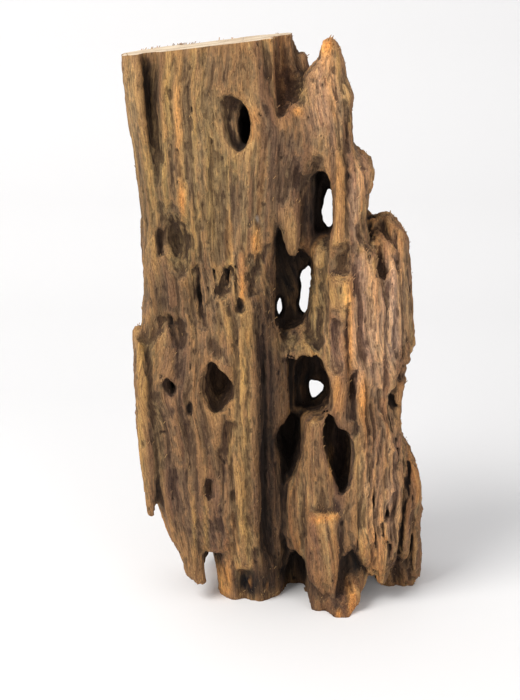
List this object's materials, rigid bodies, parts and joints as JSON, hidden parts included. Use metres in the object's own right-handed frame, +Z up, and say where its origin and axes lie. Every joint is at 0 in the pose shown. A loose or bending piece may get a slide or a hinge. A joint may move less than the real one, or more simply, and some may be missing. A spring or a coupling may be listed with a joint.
{
  "type": "dragon wood",
  "caption": "Upright block of weathered, hollowed heartwood with a sawn top, worn windows and ragged feet, for aquariums and terrariums.",
  "frame": {"origin": "middle of the bottom of the bounding box, level with the flat spots of the three feet", "axes": "+Z up along the grain, +Y from the pictured front towards the back, +X to the right as seen from the front"},
  "size_m": [0.1232, 0.0676, 0.2305],
  "materials": {
    "wood": "bare weathered heartwood, matt, with golden ridges, orange breaks and dark hollows"
  },
  "bodies": {
    "root": {"dragon_wood": "wood"}
  },
  "joints": []
}
